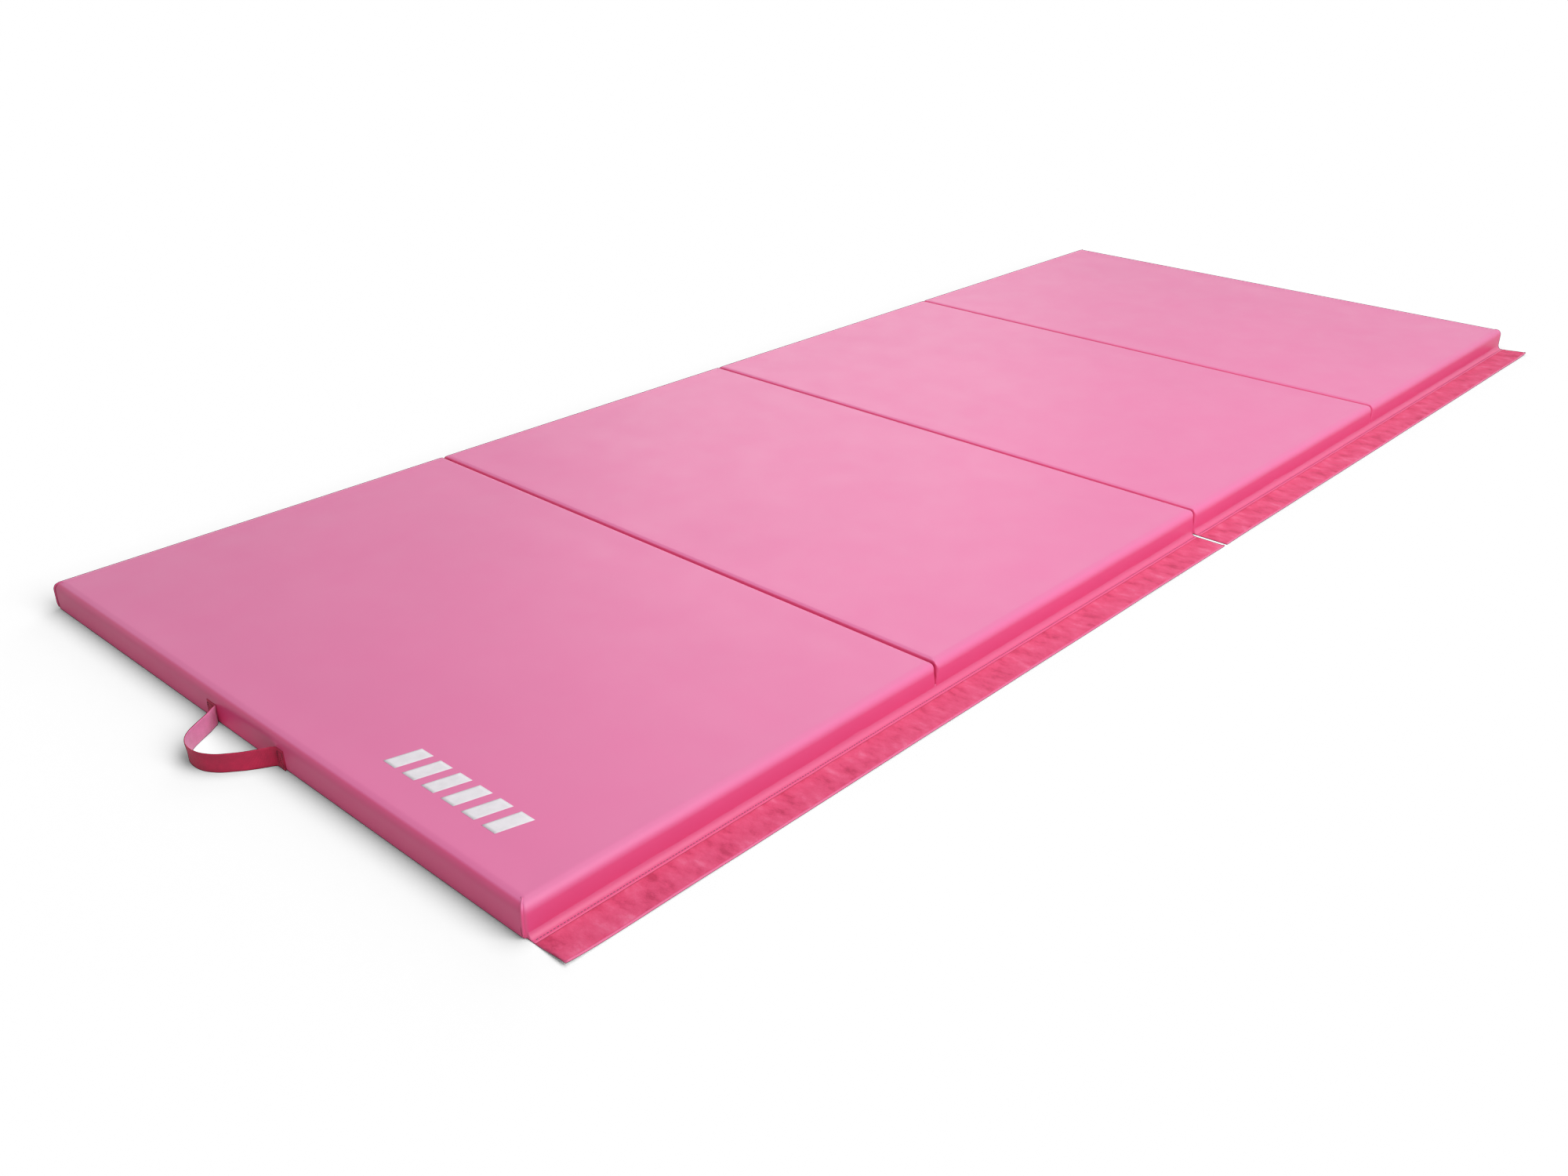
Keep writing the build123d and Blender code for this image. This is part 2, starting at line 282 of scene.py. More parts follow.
def vinyl(name, colour, roughness, painted_shade_colour=None):
    """Coated vinyl: fine leather grain, faint cloudiness in colour and gloss, and painted shade that makes
    the walls, the ends and the fold walls deeper and more saturated than the top.
    """
    material, tree, shader = node_material(name)
    where = place_coordinates(tree)
    clouds = noise_value(tree, where, 3.0, 4.0, 0.55)
    tint = ramp(tree, clouds, ((0.3, scaled(colour, 0.985)), (0.7, scaled(colour, 1.015))))
    if painted_shade_colour:
        # Painted shade: a deeper, more saturated colour low down and where the surface faces along the mat
        walls = ramp(tree, clouds, ((0.3, scaled(painted_shade_colour, 0.97)), (0.7, scaled(painted_shade_colour, 1.03))))
        both = add_node(tree, "ShaderNodeMix", data_type="RGBA")
        top_share = add_node(tree, "ShaderNodeMath", operation="MULTIPLY")
        tree.links.new(height_share(tree, *PAINTED_SHADE_HEIGHTS), top_share.inputs[0])
        tree.links.new(end_share(tree, *PAINTED_END_SHADE_SLOPES), top_share.inputs[1])
        tree.links.new(top_share.outputs["Value"], both.inputs["Factor"])
        tree.links.new(walls, both.inputs["A"])
        tree.links.new(tint, both.inputs["B"])
        tint = both.outputs["Result"]
    tree.links.new(tint, shader.inputs["Base Color"])
    smears = noise_value(tree, where, 14.0, 5.0, 0.6)
    gloss = spread(tree, smears, roughness - 0.03, roughness + 0.04)
    tree.links.new(gloss, shader.inputs["Roughness"])
    grain = add_node(tree, "ShaderNodeTexVoronoi", {"Scale": 900.0, "Randomness": 1.0},
                     feature="DISTANCE_TO_EDGE")
    tree.links.new(where, grain.inputs["Vector"])
    pits = noise_value(tree, where, 1400.0, 2.0)
    drape = noise_value(tree, where, 9.0, 3.0, 0.45)
    bump(tree, shader, ((drape, 0.0010, 0.25), (grain.outputs["Distance"], 0.0002, 0.16),
                        (pits, 0.00008, 0.14)))
    shader.inputs["Specular IOR Level"].default_value = 0.55
    return material


def pile_material():
    """Crushed loop pile: flattened patches leaning one way, darker where their bump is low and paler where it
    is high, with fine tips paler where the fibres' bump is high: painted shade and light at both scales.
    """
    material, tree, shader = node_material("crushed_pile")
    slanted = place_coordinates(tree, scale=(1.0, 0.55, 1.0), rotation=(0, 0, math.radians(-32)))
    patches = noise_value(tree, slanted, 48.0, 5.0, 0.62)
    # Painted shade in the patches' hollows and painted highlight on their crests
    tint = ramp(tree, patches, ((0.32, (0.56, 0.035, 0.115)), (0.45, (0.74, 0.070, 0.185)),
                                (0.58, (0.80, 0.100, 0.230)), (0.74, (0.86, 0.190, 0.340))))
    fibres = noise_value(tree, place_coordinates(tree, scale=(1.0, 1.8, 1.0)), 620.0, 3.0, 0.7)
    mixed = add_node(tree, "ShaderNodeMix", {"Factor": 0.35}, data_type="RGBA", blend_type="OVERLAY")
    fibre_tint = ramp(tree, fibres, ((0.34, (0.36, 0.36, 0.36)), (0.66, (0.64, 0.64, 0.64))))
    tree.links.new(tint, mixed.inputs["A"])
    tree.links.new(fibre_tint, mixed.inputs["B"])
    tree.links.new(mixed.outputs["Result"], shader.inputs["Base Color"])
    tree.links.new(spread(tree, patches, 0.78, 0.92), shader.inputs["Roughness"])
    loops = add_node(tree, "ShaderNodeTexVoronoi", {"Scale": 780.0, "Randomness": 0.9})
    tree.links.new(slanted, loops.inputs["Vector"])
    bump(tree, shader, ((patches, 0.0022, 0.8), (fibres, 0.0005, 0.5),
                        (loops.outputs["Distance"], 0.0003, 0.3)))
    shader.inputs["Sheen Weight"].default_value = 0.15
    shader.inputs["Sheen Roughness"].default_value = 0.4
    shader.inputs["Sheen Tint"].default_value = (1.0, 0.72, 0.82, 1.0)
    return material


def woven(name, colour, pitch, roughness, sheen, plane):
    """A woven tape: over and under threads across two axes, worn and tinted unevenly."""
    material, tree, shader = node_material(name)
    where = place_coordinates(tree)
    threads = []
    for direction in plane:
        wave = add_node(tree, "ShaderNodeTexWave",
                        {"Scale": 1.0 / pitch / 2 / math.pi * 3.2, "Distortion": 0.6, "Detail": 1.0},
                        wave_type="BANDS", bands_direction=direction, wave_profile="SIN")
        tree.links.new(where, wave.inputs["Vector"])
        threads.append(wave.outputs["Fac"])
    weave = add_node(tree, "ShaderNodeMath", operation="MULTIPLY")
    tree.links.new(threads[0], weave.inputs[0])
    tree.links.new(threads[1], weave.inputs[1])
    patches = noise_value(tree, where, 60.0, 4.0, 0.6)
    fuzz = noise_value(tree, where, 900.0, 2.0)
    base = ramp(tree, patches, ((0.3, scaled(colour, 0.82)), (0.7, scaled(colour, 1.15))))
    # Darker in the gaps between the threads, where the weave's bump is low: painted shade
    mixed = add_node(tree, "ShaderNodeMix", {"B": (*scaled(colour, 0.55), 1.0)}, data_type="RGBA")
    gap_shade = spread(tree, weave.outputs["Value"], 0.45, 0.0, 0.0, 0.5)
    tree.links.new(gap_shade, mixed.inputs["Factor"])
    tree.links.new(base, mixed.inputs["A"])
    tree.links.new(mixed.outputs["Result"], shader.inputs["Base Color"])
    tree.links.new(spread(tree, fuzz, roughness - 0.06, roughness + 0.08), shader.inputs["Roughness"])
    bump(tree, shader, ((weave.outputs["Value"], 0.0003, 0.8), (fuzz, 0.00012, 0.3)))
    shader.inputs["Sheen Weight"].default_value = sheen
    shader.inputs["Sheen Roughness"].default_value = 0.35
    return material


def plain_detail(name, colour, roughness, metallic=0.0, scale=300.0, depth=0.0001):
    """A finish with fine uneven colour, gloss and relief, for small pieces."""
    material, tree, shader = node_material(name)
    where = place_coordinates(tree)
    grain = noise_value(tree, where, scale, 4.0, 0.6)
    wear = noise_value(tree, where, scale / 12, 4.0, 0.6)
    tree.links.new(ramp(tree, wear, ((0.3, scaled(colour, 0.94)), (0.7, scaled(colour, 1.04)))),
                   shader.inputs["Base Color"])
    tree.links.new(spread(tree, grain, roughness - 0.07, roughness + 0.09), shader.inputs["Roughness"])
    bump(tree, shader, ((grain, depth, 0.4),))
    shader.inputs["Metallic"].default_value = metallic
    return material


# The second colour is painted shade for the cover's walls, ends and fold walls
COVER_VINYL = vinyl("cover_vinyl", (0.800, 0.170, 0.385), 0.42, (0.810, 0.086, 0.255))
HEM_VINYL = vinyl("hem_vinyl", (0.790, 0.125, 0.290), 0.44)
STRIP_VINYL = vinyl("strip_vinyl", (0.700, 0.075, 0.200), 0.50)
PILE = pile_material()
HOOKS = woven("hook_tape", (0.70, 0.09, 0.22), 0.0012, 0.62, 0.2, ("X", "Y"))
WEBBING = woven("handle_webbing", (0.640, 0.008, 0.080), 0.0011, 0.55, 0.04, ("Y", "Z"))
# A paler copy of the webbing for the handle's inner face: painted light and sheen
WEBBING_PAINTED_LIGHT = woven("handle_webbing_painted_light", (0.960, 0.260, 0.520), 0.0011, 0.40, 0.35, ("Y", "Z"))
ZIP_TAPE = woven("zip_tape", (0.66, 0.085, 0.22), 0.0008, 0.66, 0.2, ("X", "Z"))
COIL = plain_detail("zip_coil", (0.62, 0.10, 0.24), 0.35)
METAL = plain_detail("zip_metal", (0.62, 0.62, 0.64), 0.28, 1.0, 700.0, 0.00003)
THREAD = plain_detail("thread", (0.20, 0.10, 0.16), 0.7, 0.0, 1500.0, 0.00005)
# Dark thread for the handle stitches, also used as painted shade beside the corner welts
DARK_THREAD_AND_SEAM_SHADE = plain_detail("dark_thread_and_seam_shade", (0.22, 0.012, 0.045), 0.6, 0.0, 1500.0, 0.00005)
PINK_THREAD = plain_detail("pink_thread", (0.66, 0.13, 0.29), 0.6, 0.0, 1500.0, 0.00005)
INK = plain_detail("print_ink", (0.90, 0.86, 0.90), 0.5, 0.0, 900.0, 0.00002)
FOAM = plain_detail("foam", (0.86, 0.86, 0.84), 0.9, 0.0, 160.0, 0.0006)


# ---------------------------------------------------------------- panels

EDGE_STEPS = [0.0015] * 5 + [0.002, 0.002, 0.003, 0.004, 0.005, 0.006, 0.008, 0.010, 0.012]


def edge_dense(low, high, step=0.015):
    """Places from low to high, close together near both ends."""
    edge = np.cumsum([0.0] + EDGE_STEPS)
    middle = np.linspace(low + edge[-1], high - edge[-1], int((high - low - 2 * edge[-1]) / step) + 2)
    return np.concatenate([low + edge, middle[1:-1], (high - edge)[::-1]])


def remap(values, low, high, new_low, new_high):
    """values moved from low..high to new_low..new_high."""
    return new_low + (values - low) * (new_high - new_low) / (high - low)


def round_corners(x, y, rect, radii):
    """Points in a rectangle, with each corner's square of points drawn into a quarter disc."""
    x = x.copy()
    y = y.copy()
    low_x, high_x, low_y, high_y = rect
    for side_x, edge_x, radius in ((-1, low_x, radii[0]), (1, high_x, radii[1])):
        for side_y, edge_y in ((-1, low_y), (1, high_y)):
            core_x = edge_x - side_x * radius
            core_y = edge_y - side_y * radius
            dx = (x - core_x) * side_x
            dy = (y - core_y) * side_y
            inside = (dx > 1e-9) & (dy > 1e-9)
            longest = np.maximum(dx, dy)
            reach = np.hypot(dx, dy)
            factor = np.where(inside, longest / np.where(reach > 0, reach, 1), 1)
            x = np.where(inside, core_x + side_x * dx * factor, x)
            y = np.where(inside, core_y + side_y * dy * factor, y)
    return x, y


def panel_rings(low_end, high_end):
    """The wall's rings from the base up: each one's inset and height on the long walls and each X wall."""
    rings = []
    for k in range(4):
        turn = math.radians(90 * k / 4)
        inset = BASE_RADIUS * (1 - math.sin(turn))
        height = BASE_RADIUS * (1 - math.cos(turn))
        rings.append([(inset, height)] * 3)
    radii = (OUTER_RADIUS,
             OUTER_RADIUS if low_end else FOLD_RADIUS,
             OUTER_RADIUS if high_end else FOLD_RADIUS)
    for k in range(9):
        rings.append([(0.0, BASE_RADIUS + (THICKNESS - r - BASE_RADIUS) * k / 9) for r in radii])
    for k in range(10):
        turn = math.radians(90 * k / 9)
        rings.append([(r * (1 - math.cos(turn)), THICKNESS - r + r * math.sin(turn)) for r in radii])
    return rings


def mitre_radius(inset):
    """Plan radius of an end corner: it sharpens up the roll, where end and side sheets meet in a mitre."""
    return max(0.0012, END_CORNER - 0.8 * inset)


def panel_surface(number):
    """A panel's closed skin as points and faces: base, walls and top in one lattice."""
    low_x, high_x = box(f"cover_{number}")[0][0], box(f"cover_{number}")[1][0]
    low_end, high_end = number == 1, number == 4
    xs = edge_dense(low_x, high_x)
    ys = edge_dense(-HALF_WIDTH, HALF_WIDTH)
    nx, ny = len(xs), len(ys)
    loop = [(i, 0) for i in range(nx)] + [(nx - 1, j) for j in range(1, ny)]
    loop += [(i, ny - 1) for i in range(nx - 2, -1, -1)] + [(0, j) for j in range(ny - 2, 0, -1)]
    rings = panel_rings(low_end, high_end)
    points = []
    for ring in rings:
        (inset_y, height_y), (inset_low, height_low), (inset_high, height_high) = ring
        share = smoothstep(0.020, 0.032, height_y)
        fold_corner = CLOSED_CORNER + (FOLD_CORNER - CLOSED_CORNER) * share
        end_corner = mitre_radius(inset_y)
        radii = (end_corner if low_end else fold_corner, end_corner if high_end else fold_corner)
        rect = (low_x + inset_low, high_x - inset_high, -HALF_WIDTH + inset_y, HALF_WIDTH - inset_y)
        x = remap(np.array([xs[i] for i, j in loop]), low_x, high_x, rect[0], rect[1])
        y = remap(np.array([ys[j] for i, j in loop]), -HALF_WIDTH, HALF_WIDTH, rect[2], rect[3])
        from_low = x - rect[0]
        from_high = rect[1] - x
        from_side = np.minimum(y - rect[2], rect[3] - y)
        # Weight of each X wall's height against the long walls', changing round the corner
        low_share = smoothstep(-1, 1, (from_side - from_low) / radii[0])
        high_share = smoothstep(-1, 1, (from_side - from_high) / radii[1])
        z = height_y + (height_low - height_y) * low_share + (height_high - height_y) * high_share
        x, y = round_corners(x, y, rect, radii)
        points.extend(zip(x, y, z))
    faces = lattice_faces(len(rings), len(loop), close_columns=True)
    # The top and the base fill the last and first rings
    for ring_start, ring, flip in (((len(rings) - 1) * len(loop), rings[-1], False), (0, rings[0], True)):
        (inset_y, height), (inset_low, _), (inset_high, _) = ring
        rect = (low_x + inset_low, high_x - inset_high, -HALF_WIDTH + inset_y, HALF_WIDTH - inset_y)
        fold_corner = CLOSED_CORNER if flip else FOLD_CORNER
        end_corner = mitre_radius(inset_y)
        radii = (end_corner if low_end else fold_corner, end_corner if high_end else fold_corner)
        index = {ij: ring_start + k for k, ij in enumerate(loop)}
        grid = [(i, j) for i in range(1, nx - 1) for j in range(1, ny - 1)]
        x = remap(xs[[i for i, j in grid]], low_x, high_x, rect[0], rect[1])
        y = remap(ys[[j for i, j in grid]], -HALF_WIDTH, HALF_WIDTH, rect[2], rect[3])
        x, y = round_corners(x, y, rect, radii)
        for k, ij in enumerate(grid):
            index[ij] = len(points) + k
        points.extend(zip(x, y, np.full(len(grid), height)))
        for i in range(nx - 1):
            for j in range(ny - 1):
                quad = (index[i, j], index[i + 1, j], index[i + 1, j + 1], index[i, j + 1])
                faces.append(tuple(reversed(quad)) if flip else quad)
    return np.array(points), faces


def panel_relief(number, points):
    """Moves a panel's plain skin as the real cover lies: crowned, slightly slack, drawn in at its seams."""
    low_x, high_x = box(f"cover_{number}")[0][0], box(f"cover_{number}")[1][0]
    x, y, z = points.T.copy()
    seed = 10.0 * number
    inward = np.minimum(np.minimum(x - low_x, high_x - x), HALF_WIDTH - np.abs(y))
    top = smoothstep(THICKNESS - 0.004, THICKNESS - 0.0005, z)
    # The top: a low crown, with long soft waves in the vinyl, all below the full thickness
    crown = 0.0014 * smoothstep(0.14, 0.012, inward)
    slack = 0.0007 * (0.8 + waves(x, y, 0.21, seed)) + 0.00035 * (0.8 + waves(x, y, 0.075, seed + 3))
    # The long walls: fuller at mid height, with short upright puckers that start at the hem
    wall = smoothstep(0.004, 0.012, z) * smoothstep(THICKNESS, THICKNESS - 0.012, z)
    on_side = smoothstep(0.012, 0.002, HALF_WIDTH - np.abs(y)) * wall
    bulge = np.sin(np.pi * np.clip(z / THICKNESS, 0, 1))
    swell = 0.0008 * bulge + 0.0005 * waves(x, z, 0.09, seed + 5)
    pucker = 0.00035 * waves(x, 0.25 * z, 0.012, seed + 7) * smoothstep(0.026, 0.008, z)
    # The wall behind the zips is held flatter by their tapes
    tautness = np.where(y > 0, 0.4, 1.0)
    y = y + np.sign(y) * on_side * tautness * (swell + pucker)
    for edge, side, is_end in ((low_x, -1, number == 1), (high_x, 1, number == 4)):
        near = smoothstep(0.012, 0.002, np.abs(x - edge))
        if is_end:
            fullness = 0.0008 * bulge + 0.0006 * waves(y, z, 0.11, seed + 9)
            x = x + side * near * wall * fullness
        else:
            # The fold walls lie against each other low down, and stand apart towards the top and the sides
            closed = 0.016 + 0.021 * smoothstep(0.002, 0.030, HALF_WIDTH - np.abs(y))
            closing = 0.0017 * smoothstep(0.008, 0.0, z - closed) * smoothstep(0.0005, 0.004, z)
            x = x + side * near * (closing + 0.0001 * wall * waves(y, z, 0.05, seed + 11))
    lowered = np.minimum(z - top * (crown + slack * smoothstep(0.01, 0.06, inward)), THICKNESS)
    z = np.where(z > THICKNESS / 2, lowered, z)
    return np.column_stack([x, y, np.maximum(z, BASE_CLEARANCE)])


def corner_welt(number, side, end):
    """The rolled seam where the end sheet meets the side sheet: up the corner and over the top roll, with a
    thin dark tube beside it as painted shade in the seam's groove.
    """
    edge = MAT_LOW if end < 0 else MAT_HIGH
    foot = 0.005
    flat_top = THICKNESS - OUTER_RADIUS
    steps = 12
    roll_turn = 72
    route = [(0.0, foot + (flat_top - foot) * k / steps) for k in range(steps + 1)]
    for k in range(1, steps + 1):
        turn = math.radians(roll_turn * k / steps)
        route.append((OUTER_RADIUS * (1 - math.cos(turn)), flat_top + OUTER_RADIUS * math.sin(turn)))
    sections = []
    seam = []
    count = len(route)
    for k, (inset, height) in enumerate(route):
        fade = float(smoothstep(-1, 3, k) * smoothstep(count, count - 7, k))
        before, after = route[max(k - 1, 0)], route[min(k + 1, count - 1)]
        step_in, step_up = after[0] - before[0], after[1] - before[1]
        along = Vector((-end * step_in, -side * step_in, step_up)).normalized()
        outward = Vector((float(end), 0.0, 0.3)).normalized()
        across = along.cross(outward).normalized()
        outward = across.cross(along)
        sink = 0.0007 * inset / OUTER_RADIUS
        place = Vector((edge - end * (0.0004 + inset), side * (HALF_WIDTH - 0.0028 - inset),
                        height - 0.0006 - sink))
        seam.append((place + Vector((end * 0.0004, -side * 0.0028, -0.0002)), fade))
        size = 0.0004 + 0.0012 * fade
        ring = []
        for m in range(10):
            angle = 2 * math.pi * m / 10
            ring.append(tuple(place + outward * size * 1.5 * math.cos(angle)
                              + across * size * math.sin(angle)))
        sections.append(ring)
    side_name = "right" if side < 0 else "left"
    welt = swept_band(f"corner_welt_{number}_{side_name}", sections, COVER_VINYL)
    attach(welt, f"panel_{number}")
    # A thin dark tube beside the welt, on the end face: painted shade in the seam's groove
    rings = []
    for place, fade in seam:
        size = 0.0002 + 0.0007 * fade
        angles = [math.pi * m / 4 for m in range(8)]
        rings.append([(place.x + end * size * math.cos(a), place.y + side * size * math.sin(a), place.z)
                      for a in angles])
    thread = swept_band(f"corner_seam_shade_{number}_{side_name}", rings, DARK_THREAD_AND_SEAM_SHADE)
    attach(thread, f"panel_{number}")


def make_panel(number):
    """One vinyl panel, and the foam slab that fills it."""
    points, faces = panel_surface(number)
    points = panel_relief(number, points)
    panel = make_object(f"panel_skin_{number}", points, faces, COVER_VINYL)
    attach(panel, f"panel_{number}")
    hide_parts(f"cover_{number}", f"base_cover_{number}")
    # The foam has the skin's own shape, a little smaller all round
    low, high = points.min(axis=0), points.max(axis=0)
    middle = (low + high) / 2
    shrink = 1 - 2 * 0.0014 / (high - low)
    core = make_object(f"foam_slab_{number}", middle + (points - middle) * shrink, faces, FOAM)
    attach(core, f"panel_{number}")
    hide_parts(f"foam_core_{number}")
    return panel


# ---------------------------------------------------------------- fold strips

def make_fold_strip(fold):
    """The strip inside a fold: up one wall, across the gap, and up the other wall."""
    node = f"fold_strip_{fold}a"
    low, high = box(node)
    middle = fold_place(fold)
    sheet = 0.0007
    reach = 0.0017
    at_top = high[2] > THICKNESS / 2
    crossing = high[2] if at_top else low[2] + 0.0004
    leg_end = low[2] if at_top else high[2] - 0.006
    inward = 1 if at_top else -1
    ys = np.linspace(low[1], high[1], 120)
    sections = []
    for y in ys:
        sag = 0.0006 * noise.noise(Vector((y / 0.06, fold, 0.0)))
        leg_top = crossing - inward * 0.0022
        shoulder = crossing - inward * 0.0007
        outer = [(-reach, leg_end), (-reach, leg_top), (-0.6 * reach, shoulder), (0.0, crossing + sag),
                 (0.6 * reach, shoulder), (reach, leg_top), (reach, leg_end)]
        inner = [((abs(x) - sheet) * math.copysign(1, x) if x else 0.0,
                  z if z == leg_end else z - inward * sheet) for x, z in reversed(outer)]
        sections.append([(middle + x, y, z) for x, z in outer + inner])
    strip = swept_band(f"fold_strip_{fold}", sections, STRIP_VINYL)
    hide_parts(node, f"fold_strip_{fold}b")
    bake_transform(strip)


# ---------------------------------------------------------------- hem, flap and tapes

STRIPS = (("a", 1, 2), ("b", 3, 4))
# Places across the loop tape, closer together at its inner edge
PILE_STEPS = np.concatenate([[0.0, 0.012, 0.026], np.linspace(0.045, 0.97, 22), [0.985, 1.0]])


def strip_range(low_panel, high_panel):
    """X range of the edge strip over two panels."""
    return box(f"hem_{low_panel}")[0][0], box(f"hem_{high_panel}")[1][0]


def strip_places(low_panel, high_panel, step):
    """X places along an edge strip, closer together at the fold it crosses."""
    low, high = strip_range(low_panel, high_panel)
    near = fold_place(low_panel) + np.linspace(-0.012, 0.012, 25)
    first = np.linspace(low, near[0], int((near[0] - low) / step) + 1)
    second = np.linspace(near[-1], high, int((high - near[-1]) / step) + 1)
    return np.concatenate([first[:-1], near, second[1:]])


def hem_height(x, low_panel):
    """How far the hem's flat edge rises and falls along the mat."""
    return 0.00035 * noise.noise(Vector((x / 0.035, 5.0, float(low_panel))))


def hem_outline(rise, dip):
    """The hem's section, out from the wall: a concave sweep to a flat band with a rounded edge."""
    sweep = []
    for k in range(9):
        turn = math.radians(90 * k / 8)
        sweep.append((0.0001 + 0.0072 * (1 - math.cos(turn)), 0.0016 + 0.0114 * (1 - math.sin(turn))))
    band = [(STITCH_LINE, 0.0015 - dip), (0.0098, 0.0016), (0.0114, 0.00155), (0.0121, 0.0012)]
    under = [(0.0122, 0.0008), (0.0114, 0.0005), (0.0060, 0.0004), (-0.0010, 0.0004), (-0.0012, 0.0120)]
    return [(u, v + rise * smoothstep(0.004, 0.012, u)) for u, v in sweep + band] + under


def make_hem(strip, low_panel, high_panel):
    """The hem over two panels, drawn down a little at each stitch."""
    sections = []
    for x in strip_places(low_panel, high_panel, STITCH_PITCH / 4):
        dip = 0.00018 * (0.5 + 0.5 * math.cos(2 * math.pi * (x + STITCH_PITCH / 2) / STITCH_PITCH))
        rise = hem_height(x, low_panel)
        ring = [(x, -HALF_WIDTH - u, v) for u, v in hem_outline(rise, dip)]
        sections.append(ring[::-1])
    hem = swept_band(f"hem_{strip}", sections, HEM_VINYL)
    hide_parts(f"hem_{low_panel}", f"hem_{high_panel}")
    blend_over_fold(hem)


def make_hem_stitches(strip, low_panel, high_panel):
    """The single row of dark stitches along the hem."""
    low, high = strip_range(low_panel, high_panel)
    margin = 0.004
    places = []
    first = math.ceil((low + margin) / STITCH_PITCH) * STITCH_PITCH
    for k in range(int((high - margin - first) / STITCH_PITCH) + 1):
        x = first + k * STITCH_PITCH
        z = 0.00165 + hem_height(x, low_panel) * 0.5
        slant = 0.10 * noise.noise(Vector((x * 313.0, 1.0, 2.0)))
        places.append(((x, -HALF_WIDTH - STITCH_LINE, z), (1, slant, 0), (0, 0, 1)))
    stitches = capsules(f"hem_stitches_{strip}", places, STITCH_LENGTH, THREAD_RADIUS, THREAD)
    blend_over_fold(stitches)


def flap_lift(x, out):
    """How far the flap stands off the floor: flat by the hem, curling a little at its edge and ends."""
    split = smoothstep(0.004, 0.060, abs(x - (MAT_LOW + MAT_HIGH) / 2))
    roll = (0.0006 + 0.0008 * noise.noise(Vector((x / 0.16, 3.0, 0.5)))) * float(split)
    ends = math.exp(-(x - MAT_LOW) / 0.026) + math.exp(-(MAT_HIGH - x) / 0.026)
    return max(0.0, roll + 0.0036 * min(ends, 1.0)) * float(smoothstep(0.010, 0.062, out))


def pile_ridge(x, out):
    """The crushed pile's slanting folds: low pale crests between broad flattened hollows."""
    drift = 0.018 * noise.noise(Vector((x / 0.09, out / 0.04, 7.0)))
    slant = x - 0.55 * out + drift
    broad = noise.noise(Vector((slant / 0.034, out / 0.090, 1.0)))
    crest = max(0.0, 1.0 - abs(broad) * 4.2)
    tufts = noise.noise(Vector((slant / 0.0085, out / 0.016, 4.0)))
    nap = noise.noise(Vector((x / 0.0031, out / 0.0031, 2.0)))
    return 0.00075 * crest * crest + 0.00050 * broad + 0.00022 * tufts + 0.00010 * nap


def make_flap(strip, low_panel, high_panel):
    """The flap's vinyl backing with its folded edge, lying out from the hem."""
    low, high = strip_range(low_panel, high_panel)
    start = 0.0112
    end = -HALF_WIDTH - box(f"flap_{low_panel}")[0][1]
    sections = []
    for x in strip_places(low_panel, high_panel, 0.006):
        outline = [(out, 0.00085) for out in np.linspace(start, end - 0.0036, 9)]
        outline += [(end - 0.0032, 0.0022), (end - 0.0020, 0.0025), (end - 0.0007, 0.0021),
                    (end - 0.0001, 0.0012), (end - 0.0006, 0.0003)]
        outline += [(out, 0.0001) for out in np.linspace(end - 0.003, start, 9)]
        ring = [(x, -HALF_WIDTH - out, z + flap_lift(x, out)) for out, z in outline]
        sections.append(ring[::-1])
    flap = swept_band(f"flap_{strip}", sections, HEM_VINYL)
    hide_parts(f"flap_{low_panel}", f"flap_{high_panel}")
    blend_over_fold(flap)
    return flap, (end - start, high - low)


def make_loop_tape(strip, low_panel, high_panel):
    """The crushed loop pile that lies on the flap."""
    low, high = strip_range(low_panel, high_panel)
    corners = box(f"loop_tape_{low_panel}")
    start = -HALF_WIDTH - corners[1][1] - 0.0002
    end = -HALF_WIDTH - corners[0][1] + 0.0001
    sections = []
    for x in strip_places(low_panel, high_panel, 0.0024):
        ring = []
        for out in start + (end - start) * PILE_STEPS:
            edge = float(smoothstep(0, 0.0016, out - start) * smoothstep(0, 0.003, end - out)
                         * smoothstep(-0.001, 0.004, x - low) * smoothstep(-0.001, 0.004, high - x))
            height = 0.0012 + (0.0010 + pile_ridge(x, out)) * edge
            ring.append((x, -HALF_WIDTH - out, height + flap_lift(x, out)))
        for out in (end, start):
            ring.append((x, -HALF_WIDTH - out, 0.0009 + flap_lift(x, out)))
        sections.append(ring)
    tape = swept_band(f"loop_pile_{strip}", sections, PILE)
    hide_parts(f"loop_tape_{low_panel}", f"loop_tape_{high_panel}")
    blend_over_fold(tape)
    return tape


def make_hook_tape(number):
    """The hook tape under a panel's left edge: a woven ground with rows of small hooks facing down."""
    low, high = box(f"hook_tape_{number}")
    places = np.linspace(low[0], high[0], 240)
    across = np.linspace(low[1], high[1], 26)
    sections = []
    for k, x in enumerate(places):
        ring = []
        for m, y in enumerate(across):
            selvedge = float(smoothstep(0, 0.003, y - low[1]) * smoothstep(0, 0.003, high[1] - y))
            hooks = 0.00035 * selvedge * ((k + m) % 2)
            ring.append((x, y, 0.00045 - hooks))
        for y in (high[1], low[1]):
            ring.append((x, y, 0.0009))
        sections.append(ring)
    tape = swept_band(f"hook_tape_cloth_{number}", sections, HOOKS)
    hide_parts(f"hook_tape_{number}")
    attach(tape, f"panel_{number}")


def make_edge_strips():
    """Hem, stitches, flap and loop tape along the right side, and the hook tape under the left edge."""
    for where in STRIPS:
        make_hem(*where)
        make_hem_stitches(*where)
        flap, flat = make_flap(*where)
        tape = make_loop_tape(*where)
    for number in PANELS:
        make_hook_tape(number)


# ---------------------------------------------------------------- carry handles

